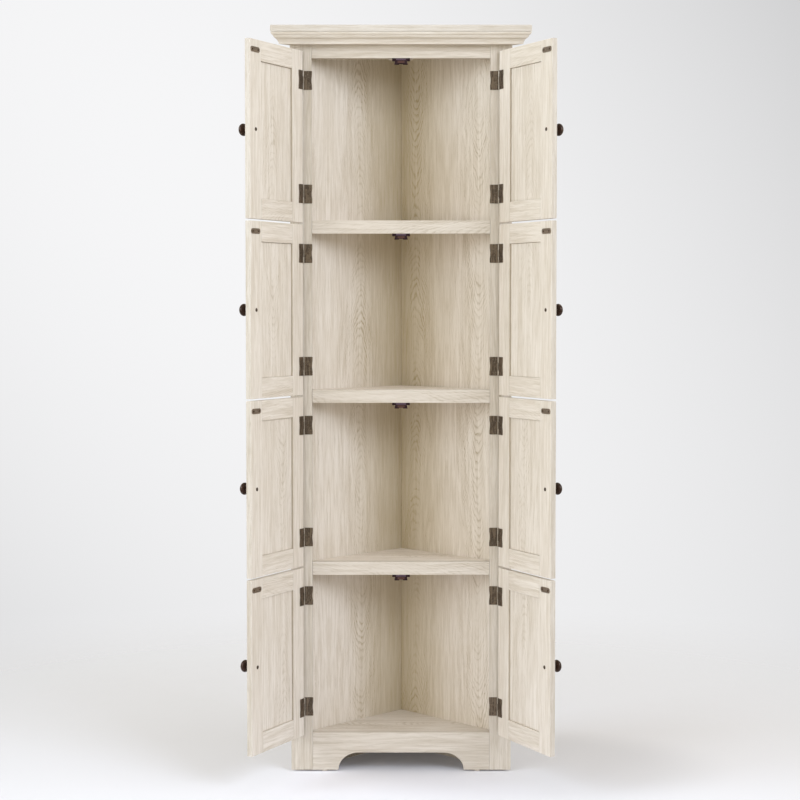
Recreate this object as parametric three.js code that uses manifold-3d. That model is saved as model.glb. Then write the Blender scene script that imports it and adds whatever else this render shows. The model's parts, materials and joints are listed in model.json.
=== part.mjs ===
// Corner cupboard: a tall case that fills the right-angled corner of a room. Its face frame
// carries four rows of paired doors, and three shelves divide the space behind them.
// Millimetres, +Z up. X runs along the front and +Y from the front towards the room's corner.
// The doors are drawn standing open. They turn about the pins of their hinges.
import * as THREE from 'three';
import { mergeVertices } from 'three/addons/utils/BufferGeometryUtils.js';
import Module from 'manifold-3d';

const wasm = await Module();
wasm.setup();

// Case
const caseHeight = 1829;
const frontHalfWidth = 271.7;
const backPanelThickness = 16;
const seatGap = 0.3;
const joinDepth = 1;
const cutOverrun = 2;

// Face frame
const frameThickness = 19;
const stileWidth = 53.2;
const topRailHeight = 57.3;
const bottomRailTop = 96.6;

// Bracket feet with an arch between them, and the pads that they stand on
const footReach = 63.5;
const archCornerRun = 50;
const archRise = 43;
const padRadius = 8.5;
const padHeight = 3.5;
const padFromStile = 30;
const rearPadRadius = 7;
const rearPadFromCorner = 40;

// Top board, and the crown moulding below its overhang
const topBoardThickness = 16;
const topBoardOverCrown = 1.4;
const crownHeight = 27;
const crownReach = 43.6;
const crownLipHeight = 2.5;
const crownFillet = 1.2;
const crownUpperRoundDrop = 5.5;
const crownUpperRoundRun = 2.6;
const crownRoundDrop = 7;
const crownRoundRun = 5.3;
const crownCoveDrop = 8.5;
const crownCoveRun = 7.3;
const crownCoveBendShares = [0.6, 0.3];

// Shelves: a board behind the face frame with a deeper lip between the stiles
const floorThickness = 16;
const shelfBoardThickness = 18;
const shelfLipHeight = 32;
const shelfLipDepth = 22;
const shelfSetback = 2;
const shelfEndGap = 0.6;
const shelfTopsAboveDoorGaps = [8.3, 14.4, 10.5];

// Block behind the top rail that a door catch is screwed to
const catchBlockWidth = 60;
const catchBlockDepth = 22;
const catchBlockHeight = 26;

// Doors
const doorRows = 4;
const doorOpening = 118;
const doorThickness = 14;
const doorGap = 5;
const doorCentreGap = 3;
const doorOverTopRail = 15.6;
const doorOverBottomRail = 4.6;
const doorStileWidth = 48;
const doorRailWidth = 48;
const panelRecess = 4.5;

// Butt hinges
const leafWidth = 22.8;
const leafOverOpening = 1.5;
const leafHeight = 46;
const leafThickness = 1;
const leafSeatGap = 0.2;
const leafEdgeHollow = 1.4;
const doorLeafWidth = 23;
const knuckleRadius = 3.1;
const knuckleLength = 17;
const knuckleEndGap = 0.3;
const knuckleBackGap = 0.5;
const knuckleToDoor = 0.7;
const pinRadius = 1.2;
const pinClearance = 0.3;
const hingeFromDoorEnd = 70;

// Knobs, from the door face outwards
const knobFromDoorEdge = 25;
const knobBaseRadius = 8.5;
const knobBaseHeight = 2;
const knobNeckRadius = 5.5;
const knobNeckHeight = 11;
const knobHeadRadius = 14.6;
const knobRimHeight = 17.5;
const knobRimThickness = 4;
const knobProjection = 30;
const knobDomeShares = [[0.88, 0.5], [0.56, 0.86]];

// Roundness of the faceted curves
const archSteps = 8;
const crownSteps = 3;
const leafEdgeSteps = 4;
const padSides = 20;
const knuckleSides = 12;
const knobSides = 20;

// Places that follow from the sizes above
const innerReach = frontHalfWidth - backPanelThickness * Math.SQRT2;
const openingHalfWidth = frontHalfWidth - stileWidth;
const boardUnderside = caseHeight - topBoardThickness;
const frameTop = boardUnderside - seatGap;
const topRailBottom = frameTop - topRailHeight;
const topBoardOverhang = crownReach + topBoardOverCrown;
const railHalfLength = openingHalfWidth - seatGap;
const archHalfWidth = openingHalfWidth - footReach;
const panelFront = frameThickness + seatGap;

const doorStackBottom = bottomRailTop - doorOverBottomRail;
const doorStackTop = topRailBottom + doorOverTopRail;
const doorPitch = (doorStackTop - doorStackBottom + doorGap) / doorRows;
const doorHeight = doorPitch - doorGap;

const pivotX = openingHalfWidth - leafOverOpening + leafWidth;
const pivotForward = leafSeatGap + leafThickness + knuckleBackGap + knuckleRadius;
const doorStandOff = 2 * leafThickness + 3 * leafSeatGap;
const doorEdgeFromPin = knuckleRadius + knuckleToDoor;
const doorInnerFace = pivotForward - doorStandOff;
const doorOuterFace = doorInnerFace - doorThickness;
const doorWidth = pivotX - doorEdgeFromPin - doorCentreGap / 2;

// Finishes
const paleOak = { color: 0xe0d8cb, roughness: 0.62, metalness: 0 };
const darkBronze = { color: 0x5a4e44, roughness: 0.42, metalness: 0.85 };
const blackBronze = { color: 0x2e2622, roughness: 0.36, metalness: 0.7 };

function named(name, geometry, finish) {
  const mesh = new THREE.Mesh(geometry, new THREE.MeshStandardMaterial(finish));
  mesh.name = name;
  return mesh;
}

function toSolid(geometry) {
  const bare = geometry.clone();
  bare.deleteAttribute('normal');
  bare.deleteAttribute('uv');
  const merged = mergeVertices(bare);
  return new wasm.Manifold(new wasm.Mesh({
    numProp: 3,
    vertProperties: new Float32Array(merged.attributes.position.array),
    triVerts: new Uint32Array(merged.index.array),
  }));
}

function toGeometry(solid) {
  const mesh = solid.getMesh();
  const geometry = new THREE.BufferGeometry();
  geometry.setAttribute('position', new THREE.BufferAttribute(mesh.vertProperties, 3));
  geometry.setIndex(new THREE.BufferAttribute(mesh.triVerts, 1));
  geometry.computeVertexNormals();
  return geometry;
}

function joined(...geometries) {
  const [first, ...rest] = geometries.map(toSolid);
  return toGeometry(rest.reduce((whole, piece) => whole.add(piece), first));
}

function extruded(shape, depth, curveSegments = 1) {
  return new THREE.ExtrudeGeometry(shape, { depth, bevelEnabled: false, curveSegments });
}

// An outline seen from above, standing from one height to another
function upright(points, bottom, top) {
  const outline = new THREE.Shape(points.map(([x, y]) => new THREE.Vector2(x, y)));
  return extruded(outline, top - bottom).translate(0, 0, bottom);
}

// An outline seen from the front, running back from a given depth
function facing(shape, front, depth, curveSegments) {
  return extruded(shape, depth, curveSegments)
    .rotateX(Math.PI / 2)
    .translate(0, front + depth, 0);
}

function block(left, right, front, back, bottom, top) {
  return new THREE.BoxGeometry(right - left, back - front, top - bottom)
    .translate((left + right) / 2, (front + back) / 2, (bottom + top) / 2);
}

function uprightCylinder(radius, bottom, top, sides, x = 0, y = 0) {
  return new THREE.CylinderGeometry(radius, radius, top - bottom, sides)
    .rotateX(Math.PI / 2)
    .translate(x, y, (bottom + top) / 2);
}

// The outer edge of a stile is cut at 45 degrees, so it lies flat on the wall of the room
function stile(name, side) {
  const backOuter = frontHalfWidth - frameThickness;
  const plan = [
    [side * openingHalfWidth, 0],
    [side * frontHalfWidth, 0],
    [side * backOuter, frameThickness],
    [side * openingHalfWidth, frameThickness],
  ];
  return named(name, upright(plan, padHeight, frameTop), paleOak);
}

function topRail() {
  const rail = block(-railHalfLength, railHalfLength, 0, frameThickness, topRailBottom, frameTop);
  const catchBlock = block(
    -catchBlockWidth / 2, catchBlockWidth / 2,
    frameThickness - joinDepth, frameThickness + catchBlockDepth,
    topRailBottom, topRailBottom + catchBlockHeight,
  );
  return named('top_rail', joined(rail, catchBlock), paleOak);
}

// The rail ends in two bracket feet, with an arch of rounded corners between them
function bottomRail() {
  const outline = new THREE.Shape();
  const archFlat = archHalfWidth - archCornerRun;
  outline.moveTo(-railHalfLength, padHeight);
  outline.lineTo(-archHalfWidth, padHeight);
  outline.absellipse(-archFlat, padHeight, archCornerRun, archRise, Math.PI, Math.PI / 2, true);
  outline.lineTo(archFlat, padHeight + archRise);
  outline.absellipse(archFlat, padHeight, archCornerRun, archRise, Math.PI / 2, 0, true);
  outline.lineTo(railHalfLength, padHeight);
  outline.lineTo(railHalfLength, bottomRailTop);
  outline.lineTo(-railHalfLength, bottomRailTop);
  const pads = [-1, 1].map((side) => uprightCylinder(
    padRadius, 0, padHeight + joinDepth, padSides,
    side * (openingHalfWidth - padFromStile), frameThickness / 2,
  ));
  const rail = facing(outline, 0, frameThickness, archSteps);
  return named('bottom_rail', joined(rail, ...pads), paleOak);
}

// The left panel runs through to the room's corner, and the right one butts against it
function backPanels() {
  const cornerCut = backPanelThickness / Math.SQRT2;
  const buttGap = seatGap / Math.SQRT2;
  const leftPlan = [
    [panelFront - frontHalfWidth, panelFront],
    [panelFront - innerReach, panelFront],
    [cornerCut, frontHalfWidth - cornerCut],
    [0, frontHalfWidth],
  ];
  const rightPlan = [
    [frontHalfWidth - panelFront, panelFront],
    [cornerCut + buttGap, frontHalfWidth - cornerCut - buttGap],
    [buttGap, innerReach - buttGap],
    [innerReach - panelFront, panelFront],
  ];
  const midReach = (frontHalfWidth + innerReach) / 2;
  const padX = rearPadFromCorner / Math.SQRT2;
  const pad = (side) => uprightCylinder(
    rearPadRadius, 0, padHeight + joinDepth, padSides, side * padX, midReach - padX,
  );
  const left = joined(upright(leftPlan, padHeight, frameTop), pad(-1));
  const right = joined(upright(rightPlan, padHeight, frameTop), pad(1));
  return [
    named('left_back_panel', left, paleOak),
    named('right_back_panel', right, paleOak),
  ];
}

// A board that fills the corner behind the face frame
function cornerBoard(bottom, top) {
  const reach = innerReach - seatGap * Math.SQRT2;
  const plan = [
    [panelFront - reach, panelFront],
    [reach - panelFront, panelFront],
    [0, reach],
  ];
  return upright(plan, bottom, top);
}

function floorPanel() {
  return named('floor_panel', cornerBoard(bottomRailTop - floorThickness, bottomRailTop), paleOak);
}

function shelf(name, top) {
  const halfLength = openingHalfWidth - shelfEndGap;
  const back = shelfSetback + shelfLipDepth;
  const lip = block(-halfLength, halfLength, shelfSetback, back, top - shelfLipHeight, top);
  return named(name, joined(cornerBoard(top - shelfBoardThickness, top), lip), paleOak);
}

function topBoard() {
  const halfLength = frontHalfWidth + topBoardOverhang;
  const plan = [
    [-halfLength, -topBoardOverhang],
    [halfLength, -topBoardOverhang],
    [0, frontHalfWidth],
  ];
  return named('top_board', upright(plan, boardUnderside, caseHeight), paleOak);
}

// Seen from its end, the moulding has a lip, two rounds and a hollow, each set in from the one
// above by a fillet, and a foot. Both of its ends are cut along the walls of the room.
function crownMoulding() {
  const top = frameTop;
  const bottom = boardUnderside - crownHeight;
  const lipBottom = boardUnderside - crownLipHeight;
  const upperBottom = lipBottom - crownUpperRoundDrop;
  const roundBottom = upperBottom - crownRoundDrop;
  const coveBottom = roundBottom - crownCoveDrop;
  const upperReach = crownReach - crownUpperRoundRun;
  const roundReach = upperReach - crownFillet;
  const coveReach = roundReach - crownRoundRun - crownFillet;
  const crownFootReach = coveReach - crownCoveRun;
  const [bendRunShare, bendDropShare] = crownCoveBendShares;
  const profile = new THREE.Shape();
  profile.moveTo(-seatGap, bottom);
  profile.lineTo(-seatGap, top);
  profile.lineTo(-crownReach, top);
  profile.lineTo(-crownReach, lipBottom);
  profile.quadraticCurveTo(-crownReach, upperBottom, -upperReach, upperBottom);
  profile.lineTo(-roundReach, upperBottom);
  profile.quadraticCurveTo(-roundReach, roundBottom, crownRoundRun - roundReach, roundBottom);
  profile.lineTo(-coveReach, roundBottom);
  profile.quadraticCurveTo(
    crownCoveRun * bendRunShare - coveReach, roundBottom - crownCoveDrop * bendDropShare,
    -crownFootReach, coveBottom,
  );
  profile.lineTo(crownFillet - crownFootReach, coveBottom);
  profile.lineTo(crownFillet - crownFootReach, bottom);
  const halfLength = frontHalfWidth + crownReach;
  const alongFront = new THREE.Matrix4().makeBasis(
    new THREE.Vector3(0, 1, 0), new THREE.Vector3(0, 0, 1), new THREE.Vector3(1, 0, 0),
  );
  const moulding = extruded(profile, 2 * halfLength, crownSteps)
    .applyMatrix4(alongFront)
    .translate(-halfLength, 0, 0);
  const betweenWalls = upright(
    [[-halfLength, -crownReach], [halfLength, -crownReach], [0, frontHalfWidth]],
    bottom - cutOverrun, top + cutOverrun,
  );
  const solid = toSolid(moulding).intersect(toSolid(betweenWalls));
  return named('crown_moulding', toGeometry(solid), paleOak);
}

// Everything below is drawn about the pin of a hinge, with X along the closed door and Y
// towards the face frame. side is -1 on the left of the cupboard and 1 on its right.

// A leaf has a straight edge at the pin and a free edge that is slightly hollow
function leafPlate(side, start, width, front, height) {
  const half = height / 2;
  const outline = new THREE.Shape();
  outline.moveTo(-side * start, -half);
  outline.lineTo(-side * width, -half);
  outline.quadraticCurveTo(-side * (width - 2 * leafEdgeHollow), 0, -side * width, half);
  outline.lineTo(-side * start, half);
  return facing(outline, front, leafThickness, leafEdgeSteps);
}

// Fixed to the stile: the plate, its two knuckles and the pin
function frameLeaf(name, side) {
  const half = leafHeight / 2;
  const plateFront = pivotForward - leafSeatGap - leafThickness;
  const plateBack = pivotForward - leafSeatGap;
  const knuckleInner = knuckleLength / 2 + knuckleEndGap;
  const pieces = [leafPlate(side, 0, leafWidth, plateFront, leafHeight)];
  for (const [bottom, top] of [[-half, -knuckleInner], [knuckleInner, half]]) {
    const webEnd = -side * knuckleRadius / 2;
    pieces.push(uprightCylinder(knuckleRadius, bottom, top, knuckleSides));
    pieces.push(block(Math.min(0, webEnd), Math.max(0, webEnd), 0, plateBack, bottom, top));
  }
  pieces.push(uprightCylinder(pinRadius, -half, half, knuckleSides));
  return named(name, joined(...pieces), darkBronze);
}

// Fixed to the door: the plate, notched beside the outer knuckles, and the middle knuckle
function doorLeaf(name, side) {
  const middle = knuckleLength / 2;
  const plateFront = doorInnerFace + leafSeatGap;
  const knuckle = uprightCylinder(knuckleRadius, -middle, middle, knuckleSides);
  const bore = uprightCylinder(
    pinRadius + pinClearance, -middle - cutOverrun, middle + cutOverrun, knuckleSides,
  );
  const plate = leafPlate(side, doorEdgeFromPin, doorLeafWidth, plateFront, leafHeight);
  const tongueEnds = [0, -side * (doorEdgeFromPin + joinDepth)].sort((a, b) => a - b);
  const tongue = block(...tongueEnds, plateFront, plateFront + leafThickness, -middle, middle);
  const solid = toSolid(joined(plate, tongue, knuckle)).subtract(toSolid(bore));
  return named(name, toGeometry(solid), darkBronze);
}

// A flat panel, recessed on both faces, within two stiles and two rails
function door(name, side) {
  const nearEdge = doorEdgeFromPin;
  const farEdge = doorEdgeFromPin + doorWidth;
  const slab = (near, far, front, back, halfHeight) => {
    const ends = [-side * near, -side * far].sort((a, b) => a - b);
    return toSolid(block(...ends, front, back, -halfHeight, halfHeight));
  };
  const near = nearEdge + doorStileWidth;
  const far = farEdge - doorStileWidth;
  const halfPanel = doorHeight / 2 - doorRailWidth;
  const leaf = slab(nearEdge, farEdge, doorOuterFace, doorInnerFace, doorHeight / 2)
    .subtract(slab(
      near, far, doorOuterFace - cutOverrun, doorOuterFace + panelRecess, halfPanel,
    ))
    .subtract(slab(
      near, far, doorInnerFace - panelRecess, doorInnerFace + cutOverrun, halfPanel,
    ));
  return named(name, toGeometry(leaf), paleOak);
}

// Turned about the axis that stands out from the door's outer face
function knob(name, side) {
  const domeStart = knobRimHeight + knobRimThickness;
  const profile = [
    [0, 0],
    [knobBaseRadius, 0],
    [knobBaseRadius, knobBaseHeight],
    [knobNeckRadius, knobBaseHeight * 2],
    [knobNeckRadius, knobNeckHeight],
    [knobHeadRadius, knobRimHeight],
    [knobHeadRadius, domeStart],
    ...knobDomeShares.map(([radiusShare, riseShare]) => [
      knobHeadRadius * radiusShare,
      domeStart + (knobProjection - domeStart) * riseShare,
    ]),
    [0, knobProjection],
  ].map(([radius, height]) => new THREE.Vector2(radius, height));
  const turned = new THREE.LatheGeometry(profile, knobSides).rotateX(Math.PI);
  const mesh = named(name, turned, blackBronze);
  const fromPin = doorEdgeFromPin + doorWidth - knobFromDoorEdge;
  mesh.position.set(-side * fromPin, doorOuterFace - seatGap, 0);
  return mesh;
}

const cupboard = new THREE.Group();
cupboard.add(
  stile('left_stile', -1),
  stile('right_stile', 1),
  topRail(),
  bottomRail(),
  ...backPanels(),
  floorPanel(),
  topBoard(),
  crownMoulding(),
);

const shelfNames = ['upper_shelf', 'middle_shelf', 'lower_shelf'];
shelfNames.forEach((name, index) => {
  const gapMiddle = doorStackTop - doorPitch * (index + 1) + doorGap / 2;
  cupboard.add(shelf(name, gapMiddle + shelfTopsAboveDoorGaps[index]));
});

// Rows are counted from the top
for (const [sideName, side] of [['left', -1], ['right', 1]]) {
  for (let row = 1; row <= doorRows; row += 1) {
    const middle = doorStackTop - doorPitch * (row - 1) - doorHeight / 2;
    const hinges = [['upper', doorHeight / 2 - hingeFromDoorEnd],
      ['lower', hingeFromDoorEnd - doorHeight / 2]];
    const onCase = new THREE.Group();
    const onDoor = new THREE.Group();
    for (const [place, height] of hinges) {
      const hingeName = `${sideName}_hinge_${row}_${place}`;
      const fixed = frameLeaf(`${hingeName}_frame_leaf`, side);
      const moving = doorLeaf(`${hingeName}_door_leaf`, side);
      fixed.position.z = height;
      moving.position.z = height;
      onCase.add(fixed);
      onDoor.add(moving);
    }
    onDoor.add(door(`${sideName}_door_${row}`, side), knob(`${sideName}_knob_${row}`, side));
    for (const group of [onCase, onDoor]) {
      group.position.set(side * pivotX, -pivotForward, middle);
    }
    onDoor.rotation.z = side * THREE.MathUtils.degToRad(doorOpening);
    cupboard.add(onCase, onDoor);
  }
}

// The origin is on the floor, in the middle of the space that the open cupboard takes up
cupboard.updateMatrixWorld(true);
const space = new THREE.Box3().setFromObject(cupboard, true);
cupboard.position.y = -(space.min.y + space.max.y) / 2;

export default cupboard;
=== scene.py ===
import json
import math
import random

import bmesh
import bpy
from mathutils import Matrix, Vector


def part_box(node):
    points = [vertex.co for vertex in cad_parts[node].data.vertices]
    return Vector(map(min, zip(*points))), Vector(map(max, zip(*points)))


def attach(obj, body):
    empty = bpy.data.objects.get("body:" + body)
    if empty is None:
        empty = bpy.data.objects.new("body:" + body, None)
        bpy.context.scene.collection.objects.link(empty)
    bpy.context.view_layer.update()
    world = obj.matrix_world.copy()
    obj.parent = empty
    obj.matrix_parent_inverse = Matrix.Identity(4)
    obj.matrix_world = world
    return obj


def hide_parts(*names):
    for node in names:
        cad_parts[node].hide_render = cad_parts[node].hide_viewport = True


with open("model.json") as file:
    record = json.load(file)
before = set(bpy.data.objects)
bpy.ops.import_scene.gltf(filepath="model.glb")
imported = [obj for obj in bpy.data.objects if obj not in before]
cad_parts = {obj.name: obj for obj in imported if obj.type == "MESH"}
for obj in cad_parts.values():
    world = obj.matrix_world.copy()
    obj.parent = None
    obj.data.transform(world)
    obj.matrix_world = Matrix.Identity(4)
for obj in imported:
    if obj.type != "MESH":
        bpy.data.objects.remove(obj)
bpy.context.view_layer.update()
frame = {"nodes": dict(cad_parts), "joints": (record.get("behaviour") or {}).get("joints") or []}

boardDraw = random.Random(20)  # grain offsets, one draw per board
mm = 0.001  # the scene is in metres
wallTurn = math.sqrt(0.5)  # the walls of the room run at 45 degrees to the front


# Small helpers for node trees

def feed(tree, socket, value):
    if isinstance(value, bpy.types.NodeSocket):
        tree.links.new(value, socket)
    elif isinstance(value, (tuple, list)) and len(socket.default_value) > len(value):
        socket.default_value = (*value, 1)
    else:
        socket.default_value = value


def calc(tree, operation, *values, clamp=False):
    node = tree.nodes.new("ShaderNodeMath")
    node.operation = operation
    node.use_clamp = clamp
    for socket, value in zip(node.inputs, values):
        feed(tree, socket, value)
    return node.outputs[0]


def combine(tree, x, y, z):
    node = tree.nodes.new("ShaderNodeCombineXYZ")
    for socket, value in zip(node.inputs, (x, y, z)):
        feed(tree, socket, value)
    return node.outputs[0]


def split(tree, vector):
    node = tree.nodes.new("ShaderNodeSeparateXYZ")
    feed(tree, node.inputs[0], vector)
    return node.outputs


def stretch(tree, vector, scale):
    node = tree.nodes.new("ShaderNodeVectorMath")
    node.operation = "MULTIPLY"
    feed(tree, node.inputs[0], vector)
    feed(tree, node.inputs[1], scale)
    return node.outputs[0]


def shiftBy(tree, vector, amount):
    node = tree.nodes.new("ShaderNodeVectorMath")
    node.operation = "SUBTRACT"
    feed(tree, node.inputs[0], vector)
    feed(tree, node.inputs[1], amount)
    return node.outputs[0]


def lengthOf(tree, vector):
    node = tree.nodes.new("ShaderNodeVectorMath")
    node.operation = "LENGTH"
    feed(tree, node.inputs[0], vector)
    return node.outputs["Value"]


def noise(tree, vector, seed, scale=1, detail=2, roughness=0.5):
    node = tree.nodes.new("ShaderNodeTexNoise")
    node.noise_dimensions = "4D"
    feed(tree, node.inputs["Vector"], vector)
    feed(tree, node.inputs["W"], seed)
    feed(tree, node.inputs["Scale"], scale)
    feed(tree, node.inputs["Detail"], detail)
    feed(tree, node.inputs["Roughness"], roughness)
    return node.outputs["Fac"]


def remap(tree, value, fromLow, fromHigh, toLow=0, toHigh=1, smooth=False):
    node = tree.nodes.new("ShaderNodeMapRange")
    node.interpolation_type = "SMOOTHSTEP" if smooth else "LINEAR"
    for name, given in (("Value", value), ("From Min", fromLow), ("From Max", fromHigh),
                        ("To Min", toLow), ("To Max", toHigh)):
        feed(tree, node.inputs[name], given)
    return node.outputs[0]


def mixColour(tree, amount, first, second):
    node = tree.nodes.new("ShaderNodeMix")
    node.data_type = "RGBA"
    for index, value in ((0, amount), (6, first), (7, second)):
        feed(tree, node.inputs[index], value)
    return node.outputs[2]


def placeGroup(tree, group, **values):
    node = tree.nodes.new("ShaderNodeGroup")
    node.node_tree = group
    for name, value in values.items():
        feed(tree, node.inputs[name], value)
    return node.outputs


def newGroup(name, inputs, outputs):
    group = bpy.data.node_groups.new(name, "ShaderNodeTree")
    for label, kind, value in inputs:
        socket = group.interface.new_socket(label, in_out="INPUT", socket_type=kind)
        if value is not None:
            socket.default_value = value
    for label, kind in outputs:
        group.interface.new_socket(label, in_out="OUTPUT", socket_type=kind)
    return group, group.nodes.new("NodeGroupInput").outputs, group.nodes.new("NodeGroupOutput").inputs


def readAttribute(tree, name, output):
    node = tree.nodes.new("ShaderNodeAttribute")
    node.attribute_name = name
    return node.outputs[output]


# A screen colour, 0 to 255 each, as linear light
def linear(red, green, blue):
    return tuple(((c / 255 + 0.055) / 1.055) ** 2.4 for c in (red, green, blue))


# Shared effects. Lengths in them are metres on the board, and a scale is noise cells per metre.

floatSocket, vectorSocket = "NodeSocketFloat", "NodeSocketVector"

figureLook = {
    "seedStep": 37,
    "wanderScale": (6, 6, 1.7),
    "raggedLayers": (((45, 45, 14), 0.007), ((120, 120, 50), 0.004)),
    "heartRadius": 0.02,
    "bendScale": 3,
    "bendAmount": 0.12,
    "leafStep": 1.9,
    "turnBack": 2.1,
    "warpScale": (32, 32, 11),
    "warpAmount": 0.031,
    "yearWeight": (0.1, 1.05),
    "earlyWood": (0, 0.45),
    "lateWood": (0.8, 1),
    "fullReach": 0.3,
    "fadeScale": (11, 11, 4),
    "fade": (0.38, 0.58, 0.15, 1.1),
    "streakLayers": (((60, 60, 2.2), 0.2), ((170, 170, 7), 0.42), ((290, 290, 14), 0.38)),
    "streakRange": (0.42, 0.6),
    "poreScale": (520, 520, 26),
    "poreRange": (0.52, 0.66),
    "poresByRing": (0, 0.8, 0.45, 1),
    "ringsByStreak": (0.1, 0.7, 0.3, 1.1),
    "toneScale": (6, 6, 1.6),
    "streakDepth": -0.35,
    "poreDepth": 0.8,
    "ringDepth": 0.35,
}


def makeOakFigure():
    look = figureLook
    group, given, out = newGroup(
        "oakFigure",
        [("Grain", vectorSocket, None), ("Seed", floatSocket, 0), ("RingWidth", floatSocket, 0.008),
         ("Climb", floatSocket, 0.36), ("Reach", floatSocket, 0.085), ("Steepness", floatSocket, 0.06),
         ("Waviness", floatSocket, 0.03), ("Fold", floatSocket, 10)],
        [("Rings", floatSocket), ("Streaks", floatSocket), ("Pores", floatSocket), ("Tone", floatSocket),
         ("Height", floatSocket)])

    def plus(first, second):
        return calc(group, "ADD", first, second)

    def times(first, second):
        return calc(group, "MULTIPLY", first, second)

    def grainNoise(scale, **settings):
        return noise(group, stretch(group, given["Grain"], scale), seed, **settings)

    seed = times(given["Seed"], look["seedStep"])
    across, depth, along = split(group, given["Grain"])[:3]
    # a wide board is joined from leaves of veneer, each with its own heart
    width = times(given["Fold"], 2)
    spread = plus(across, given["Fold"])
    leaf = calc(group, "FLOOR", calc(group, "DIVIDE", spread, width))
    x = calc(group, "SUBTRACT", calc(group, "PINGPONG", spread, width), given["Fold"])
    # the grain wanders sideways along the board and is ragged in detail
    for scale, amount in ((look["wanderScale"], given["Waviness"]), *look["raggedLayers"]):
        x = plus(x, times(calc(group, "SUBTRACT", grainNoise(scale), 0.5), amount))
    # nested arches along the heart, which steepen until they run straight
    square = times(x, x)
    rounded = calc(group, "SQRT", plus(square, look["heartRadius"] ** 2))
    steep = calc(group, "DIVIDE", square, given["Steepness"])
    bend = noise(group, combine(group, leaf, 0, times(along, look["bendScale"])), seed, detail=1)
    rise = calc(group, "PINGPONG", plus(along, times(leaf, look["leafStep"])), look["turnBack"])
    rise = plus(rise, times(bend, look["bendAmount"]))
    field = plus(plus(rounded, steep), times(rise, given["Climb"]))
    field = plus(field, times(grainNoise(look["warpScale"], detail=4, roughness=0.62), look["warpAmount"]))
    field = calc(group, "DIVIDE", plus(field, depth), given["RingWidth"])
    phase = calc(group, "FRACT", field)
    # each year's ring has its own weight
    draw = group.nodes.new("ShaderNodeTexWhiteNoise")
    draw.noise_dimensions = "1D"
    feed(group, draw.inputs["W"], plus(calc(group, "FLOOR", field), seed))
    weight = remap(group, draw.outputs["Value"], 0, 1, *look["yearWeight"])
    early = remap(group, phase, *look["earlyWood"], 1, 0, smooth=True)
    late = remap(group, phase, *look["lateWood"], 0, 1, smooth=True)
    rings = times(calc(group, "MAXIMUM", early, late), weight)
    near = times(given["Reach"], look["fullReach"])
    zone = remap(group, calc(group, "ABSOLUTE", x), near, given["Reach"], 1, 0, smooth=True)
    fade = remap(group, grainNoise(look["fadeScale"], detail=4), *look["fade"])
    rings = times(rings, times(zone, fade))
    # fine streaks and short open pores lie along the board
    flow = combine(group, x, depth, along)
    streaks = 0
    for scale, share in look["streakLayers"]:
        layer = noise(group, stretch(group, flow, scale), seed, detail=2, roughness=0.6)
        streaks = plus(streaks, times(layer, share))
    streaks = remap(group, streaks, *look["streakRange"])
    pores = noise(group, stretch(group, flow, look["poreScale"]), seed, detail=3, roughness=0.7)
    pores = remap(group, pores, *look["poreRange"])
    pores = times(pores, remap(group, rings, *look["poresByRing"]))
    # the arches are broken up where the streaks cross them
    rings = times(rings, remap(group, streaks, *look["ringsByStreak"]))
    tone = grainNoise(look["toneScale"])
    height = calc(group, "SUBTRACT", times(streaks, look["streakDepth"]), times(pores, look["poreDepth"]))
    height = calc(group, "SUBTRACT", height, times(rings, look["ringDepth"]))
    for name, value in (("Rings", rings), ("Streaks", streaks), ("Pores", pores), ("Tone", tone),
                        ("Height", height)):
        feed(group, out[name], value)
    return group


wearLook = {"seed": 3.7, "roughness": 0.65, "patches": (0.3, 0.6, 0.3, 1)}


def makeEdgeWear():
    look = wearLook
    group, given, out = newGroup(
        "edgeWear",
        [("Edge", floatSocket, 0), ("Place", vectorSocket, None), ("Patch", floatSocket, 40)],
        [("Worn", floatSocket)])
    patches = noise(group, given["Place"], look["seed"], given["Patch"], detail=3,
                    roughness=look["roughness"])
    patches = remap(group, patches, *look["patches"])
    feed(group, out["Worn"], calc(group, "MULTIPLY", given["Edge"], patches))
    return group


patinaLook = {"seedStep": 23, "brushScale": (280, 280, 26), "speckScale": 1400, "cloudShare": 0.4,
              "brushShare": 0.6, "dark": (0.42, 0.62), "bright": (1.06, 1.3), "speckHeight": 0.5}


def makeMetalPatina():
    look = patinaLook
    group, given, out = newGroup(
        "metalPatina",
        [("Place", vectorSocket, None), ("Seed", floatSocket, 0), ("Cloud", floatSocket, 90)],
        [("Dark", floatSocket), ("Bright", floatSocket), ("Height", floatSocket)])
    seed = calc(group, "MULTIPLY", given["Seed"], look["seedStep"])
    clouds = noise(group, given["Place"], seed, given["Cloud"], detail=4, roughness=0.62)
    brushed = noise(group, stretch(group, given["Place"], look["brushScale"]), seed)
    specks = noise(group, given["Place"], seed, look["speckScale"])
    both = calc(group, "ADD", calc(group, "MULTIPLY", clouds, look["cloudShare"]),
                calc(group, "MULTIPLY", brushed, look["brushShare"]))
    shine = calc(group, "ADD", brushed, clouds)
    feed(group, out["Dark"], remap(group, both, *look["dark"], smooth=True))
    feed(group, out["Bright"], remap(group, shine, *look["bright"], smooth=True))
    specks = calc(group, "MULTIPLY", specks, look["speckHeight"])
    feed(group, out["Height"], calc(group, "ADD", specks, both))
    return group


oakFigure = makeOakFigure()
edgeWear = makeEdgeWear()
metalPatina = makeMetalPatina()
print("shared effects ready")


# Finishes

def newMaterial(name):
    material = bpy.data.materials.new(name)
    material.use_nodes = True
    tree = material.node_tree
    return material, tree, tree.nodes["Principled BSDF"].inputs


def addBump(tree, shaderInputs, height, distance, strength):
    bump = tree.nodes.new("ShaderNodeBump")
    feed(tree, bump.inputs["Height"], height)
    feed(tree, bump.inputs["Distance"], distance)
    feed(tree, bump.inputs["Strength"], strength)
    feed(tree, shaderInputs["Normal"], bump.outputs["Normal"])


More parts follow.
